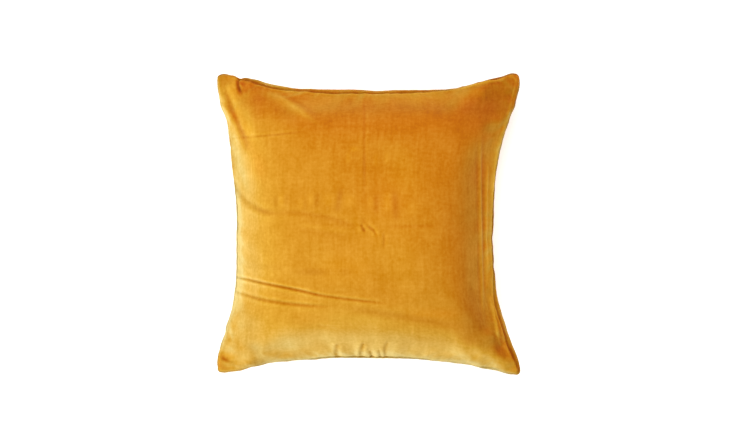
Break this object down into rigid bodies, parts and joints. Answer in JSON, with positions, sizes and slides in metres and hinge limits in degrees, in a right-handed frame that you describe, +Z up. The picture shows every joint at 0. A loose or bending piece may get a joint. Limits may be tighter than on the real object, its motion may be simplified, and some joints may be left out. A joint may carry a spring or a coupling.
{
  "type": "cushion cover",
  "caption": "Square velvet cushion cover, filled: crowned front and back panels joined by one plain seam, with drawn-in sides, pointed tips and soft creases.",
  "frame": {"origin": "middle of the cushion's box, on the surface that it rests on", "axes": "+Z up out of the front panel, through the thickness; +Y towards the top edge of the front; +X to its right"},
  "size_m": [0.4796, 0.4778, 0.156],
  "materials": {
    "velvet": "short-pile cotton velvet, golden mustard, brighter where it turns away from the eye"
  },
  "bodies": {
    "root": {"cushion_cover": "velvet"}
  },
  "joints": []
}
